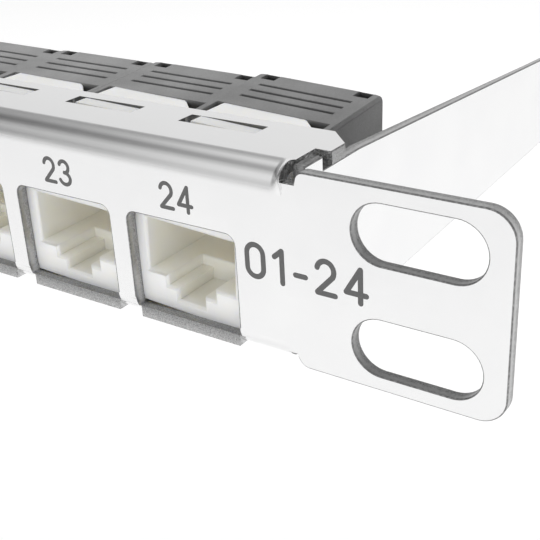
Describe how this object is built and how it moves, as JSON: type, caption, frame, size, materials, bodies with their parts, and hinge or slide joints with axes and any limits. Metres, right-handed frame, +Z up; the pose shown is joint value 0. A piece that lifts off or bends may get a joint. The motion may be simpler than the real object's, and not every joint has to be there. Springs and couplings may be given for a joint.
{
  "type": "patch panel",
  "caption": "Half-height 19-inch rack patch panel: folded steel front with a row of RJ45 jacks, pull-off black termination caps, side arms and a rear cable bar.",
  "frame": {"origin": "centre of the four rack slots, on the front face of the panel", "axes": "+X to the right seen from the front, along the panel; -Y out of the front; +Z up"},
  "size_m": [0.4826, 0.159, 0.022],
  "materials": {
    "panel_steel": "satin plated sheet with a fine grain, raw grey cut edges",
    "rivet_steel": "bright plated",
    "jack_plastic": "moulded, slightly translucent warm white",
    "cap_plastic": "fine spark-eroded texture with a soft sheen",
    "block_plastic": "moulded",
    "board_laminate": "solder-masked laminate",
    "blade_metal": "tinned spring bronze",
    "contact_metal": "gold-plated spring wire"
  },
  "bodies": {
    "frame": {"front_panel": "panel_steel", "side_arm_right": "panel_steel", "side_arm_left": "panel_steel", "cable_bar": "panel_steel", "bar_rivets": "rivet_steel", "circuit_boards": "board_laminate", "idc_blocks": "block_plastic", "idc_blades": "blade_metal", "contact_wires": "contact_metal", "jack_housing_01": "jack_plastic", "jack_housing_02": "jack_plastic", "jack_housing_03": "jack_plastic", "jack_housing_04": "jack_plastic", "jack_housing_05": "jack_plastic", "jack_housing_06": "jack_plastic", "jack_housing_07": "jack_plastic", "jack_housing_08": "jack_plastic", "jack_housing_09": "jack_plastic", "jack_housing_10": "jack_plastic", "jack_housing_11": "jack_plastic", "jack_housing_12": "jack_plastic", "jack_housing_13": "jack_plastic", "jack_housing_14": "jack_plastic", "jack_housing_15": "jack_plastic", "jack_housing_16": "jack_plastic", "jack_housing_17": "jack_plastic", "jack_housing_18": "jack_plastic", "jack_housing_19": "jack_plastic", "jack_housing_20": "jack_plastic", "jack_housing_21": "jack_plastic", "jack_housing_22": "jack_plastic", "jack_housing_23": "jack_plastic", "jack_housing_24": "jack_plastic"},
    "cap_01": {"termination_cap_01": "cap_plastic"},
    "cap_02": {"termination_cap_02": "cap_plastic"},
    "cap_03": {"termination_cap_03": "cap_plastic"},
    "cap_04": {"termination_cap_04": "cap_plastic"},
    "cap_05": {"termination_cap_05": "cap_plastic"},
    "cap_06": {"termination_cap_06": "cap_plastic"},
    "cap_07": {"termination_cap_07": "cap_plastic"},
    "cap_08": {"termination_cap_08": "cap_plastic"},
    "cap_09": {"termination_cap_09": "cap_plastic"},
    "cap_10": {"termination_cap_10": "cap_plastic"},
    "cap_11": {"termination_cap_11": "cap_plastic"},
    "cap_12": {"termination_cap_12": "cap_plastic"},
    "cap_13": {"termination_cap_13": "cap_plastic"},
    "cap_14": {"termination_cap_14": "cap_plastic"},
    "cap_15": {"termination_cap_15": "cap_plastic"},
    "cap_16": {"termination_cap_16": "cap_plastic"},
    "cap_17": {"termination_cap_17": "cap_plastic"},
    "cap_18": {"termination_cap_18": "cap_plastic"},
    "cap_19": {"termination_cap_19": "cap_plastic"},
    "cap_20": {"termination_cap_20": "cap_plastic"},
    "cap_21": {"termination_cap_21": "cap_plastic"},
    "cap_22": {"termination_cap_22": "cap_plastic"},
    "cap_23": {"termination_cap_23": "cap_plastic"},
    "cap_24": {"termination_cap_24": "cap_plastic"}
  },
  "joints": [
    {"name": "cap_slide_01", "type": "slide", "parent": "frame", "child": "cap_01", "axis": [0, 1, 0], "range_m": [0, 0.014]},
    {"name": "cap_slide_02", "type": "slide", "parent": "frame", "child": "cap_02", "axis": [0, 1, 0], "range_m": [0, 0.014]},
    {"name": "cap_slide_03", "type": "slide", "parent": "frame", "child": "cap_03", "axis": [0, 1, 0], "range_m": [0, 0.014]},
    {"name": "cap_slide_04", "type": "slide", "parent": "frame", "child": "cap_04", "axis": [0, 1, 0], "range_m": [0, 0.014]},
    {"name": "cap_slide_05", "type": "slide", "parent": "frame", "child": "cap_05", "axis": [0, 1, 0], "range_m": [0, 0.014]},
    {"name": "cap_slide_06", "type": "slide", "parent": "frame", "child": "cap_06", "axis": [0, 1, 0], "range_m": [0, 0.014]},
    {"name": "cap_slide_07", "type": "slide", "parent": "frame", "child": "cap_07", "axis": [0, 1, 0], "range_m": [0, 0.014]},
    {"name": "cap_slide_08", "type": "slide", "parent": "frame", "child": "cap_08", "axis": [0, 1, 0], "range_m": [0, 0.014]},
    {"name": "cap_slide_09", "type": "slide", "parent": "frame", "child": "cap_09", "axis": [0, 1, 0], "range_m": [0, 0.014]},
    {"name": "cap_slide_10", "type": "slide", "parent": "frame", "child": "cap_10", "axis": [0, 1, 0], "range_m": [0, 0.014]},
    {"name": "cap_slide_11", "type": "slide", "parent": "frame", "child": "cap_11", "axis": [0, 1, 0], "range_m": [0, 0.014]},
    {"name": "cap_slide_12", "type": "slide", "parent": "frame", "child": "cap_12", "axis": [0, 1, 0], "range_m": [0, 0.014]},
    {"name": "cap_slide_13", "type": "slide", "parent": "frame", "child": "cap_13", "axis": [0, 1, 0], "range_m": [0, 0.014]},
    {"name": "cap_slide_14", "type": "slide", "parent": "frame", "child": "cap_14", "axis": [0, 1, 0], "range_m": [0, 0.014]},
    {"name": "cap_slide_15", "type": "slide", "parent": "frame", "child": "cap_15", "axis": [0, 1, 0], "range_m": [0, 0.014]},
    {"name": "cap_slide_16", "type": "slide", "parent": "frame", "child": "cap_16", "axis": [0, 1, 0], "range_m": [0, 0.014]},
    {"name": "cap_slide_17", "type": "slide", "parent": "frame", "child": "cap_17", "axis": [0, 1, 0], "range_m": [0, 0.014]},
    {"name": "cap_slide_18", "type": "slide", "parent": "frame", "child": "cap_18", "axis": [0, 1, 0], "range_m": [0, 0.014]},
    {"name": "cap_slide_19", "type": "slide", "parent": "frame", "child": "cap_19", "axis": [0, 1, 0], "range_m": [0, 0.014]},
    {"name": "cap_slide_20", "type": "slide", "parent": "frame", "child": "cap_20", "axis": [0, 1, 0], "range_m": [0, 0.014]},
    {"name": "cap_slide_21", "type": "slide", "parent": "frame", "child": "cap_21", "axis": [0, 1, 0], "range_m": [0, 0.014]},
    {"name": "cap_slide_22", "type": "slide", "parent": "frame", "child": "cap_22", "axis": [0, 1, 0], "range_m": [0, 0.014]},
    {"name": "cap_slide_23", "type": "slide", "parent": "frame", "child": "cap_23", "axis": [0, 1, 0], "range_m": [0, 0.014]},
    {"name": "cap_slide_24", "type": "slide", "parent": "frame", "child": "cap_24", "axis": [0, 1, 0], "range_m": [0, 0.014]}
  ]
}
